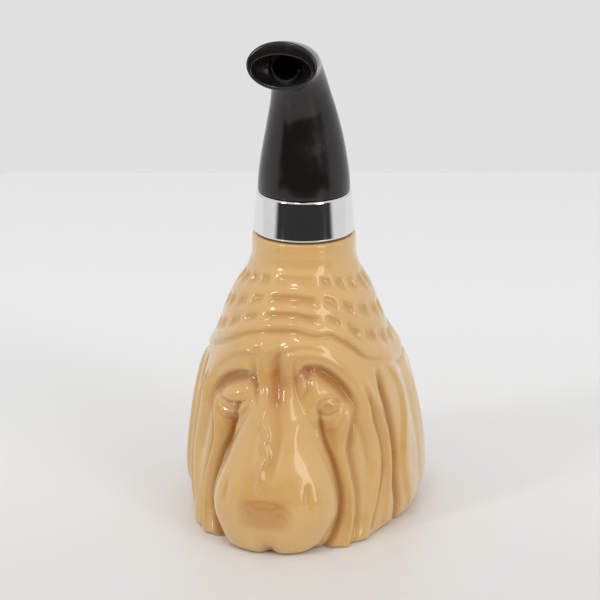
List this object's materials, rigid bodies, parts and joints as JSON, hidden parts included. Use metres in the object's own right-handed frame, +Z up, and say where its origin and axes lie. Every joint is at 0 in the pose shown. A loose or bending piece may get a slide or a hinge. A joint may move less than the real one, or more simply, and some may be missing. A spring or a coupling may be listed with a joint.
{
  "type": "figural aftershave bottle",
  "caption": "Hollow glass bottle in the shape of a hound's head in a cloth cap, closed by a screw cap shaped as a curved pipe stem with a metal collar.",
  "frame": {"origin": "centre of the footprint's bounding box, on the plane that the bottle stands on; the neck axis is parallel to +Z and stands 6.8 mm from the origin along +Y", "axes": "+Z up along the neck, the hound's face and the stem's mouthpiece point along -Y, +X is the hound's left side"},
  "size_m": [0.072, 0.0831, 0.1503],
  "materials": {
    "lacquered_glass": "glossy tan lacquer on glass",
    "liner_board": "waxed board",
    "insert_plastic": "moulded",
    "collar_metal": "bright mirror plated",
    "stem_resin": "polished black"
  },
  "bodies": {
    "bottle": {"glass_bottle": "lacquered_glass"},
    "liner": {"cap_liner": "liner_board"},
    "cap": {"threaded_insert": "insert_plastic", "chrome_collar": "collar_metal", "pipe_stem": "stem_resin"}
  },
  "joints": [
    {"name": "cap_rise", "type": "slide", "parent": "bottle", "child": "liner", "axis": [0, 0, 1], "range_m": [0, 0.01112]},
    {"name": "cap_turn", "type": "hinge", "parent": "liner", "child": "cap", "pos_m": [0, 0.0068, 0.096], "axis": [0, 0, 1], "range_deg": [0, 1260]}
  ],
  "couplings": [
    {"joint": "cap_rise", "follows": "cap_turn", "m_per_rad": 0.00050532}
  ]
}
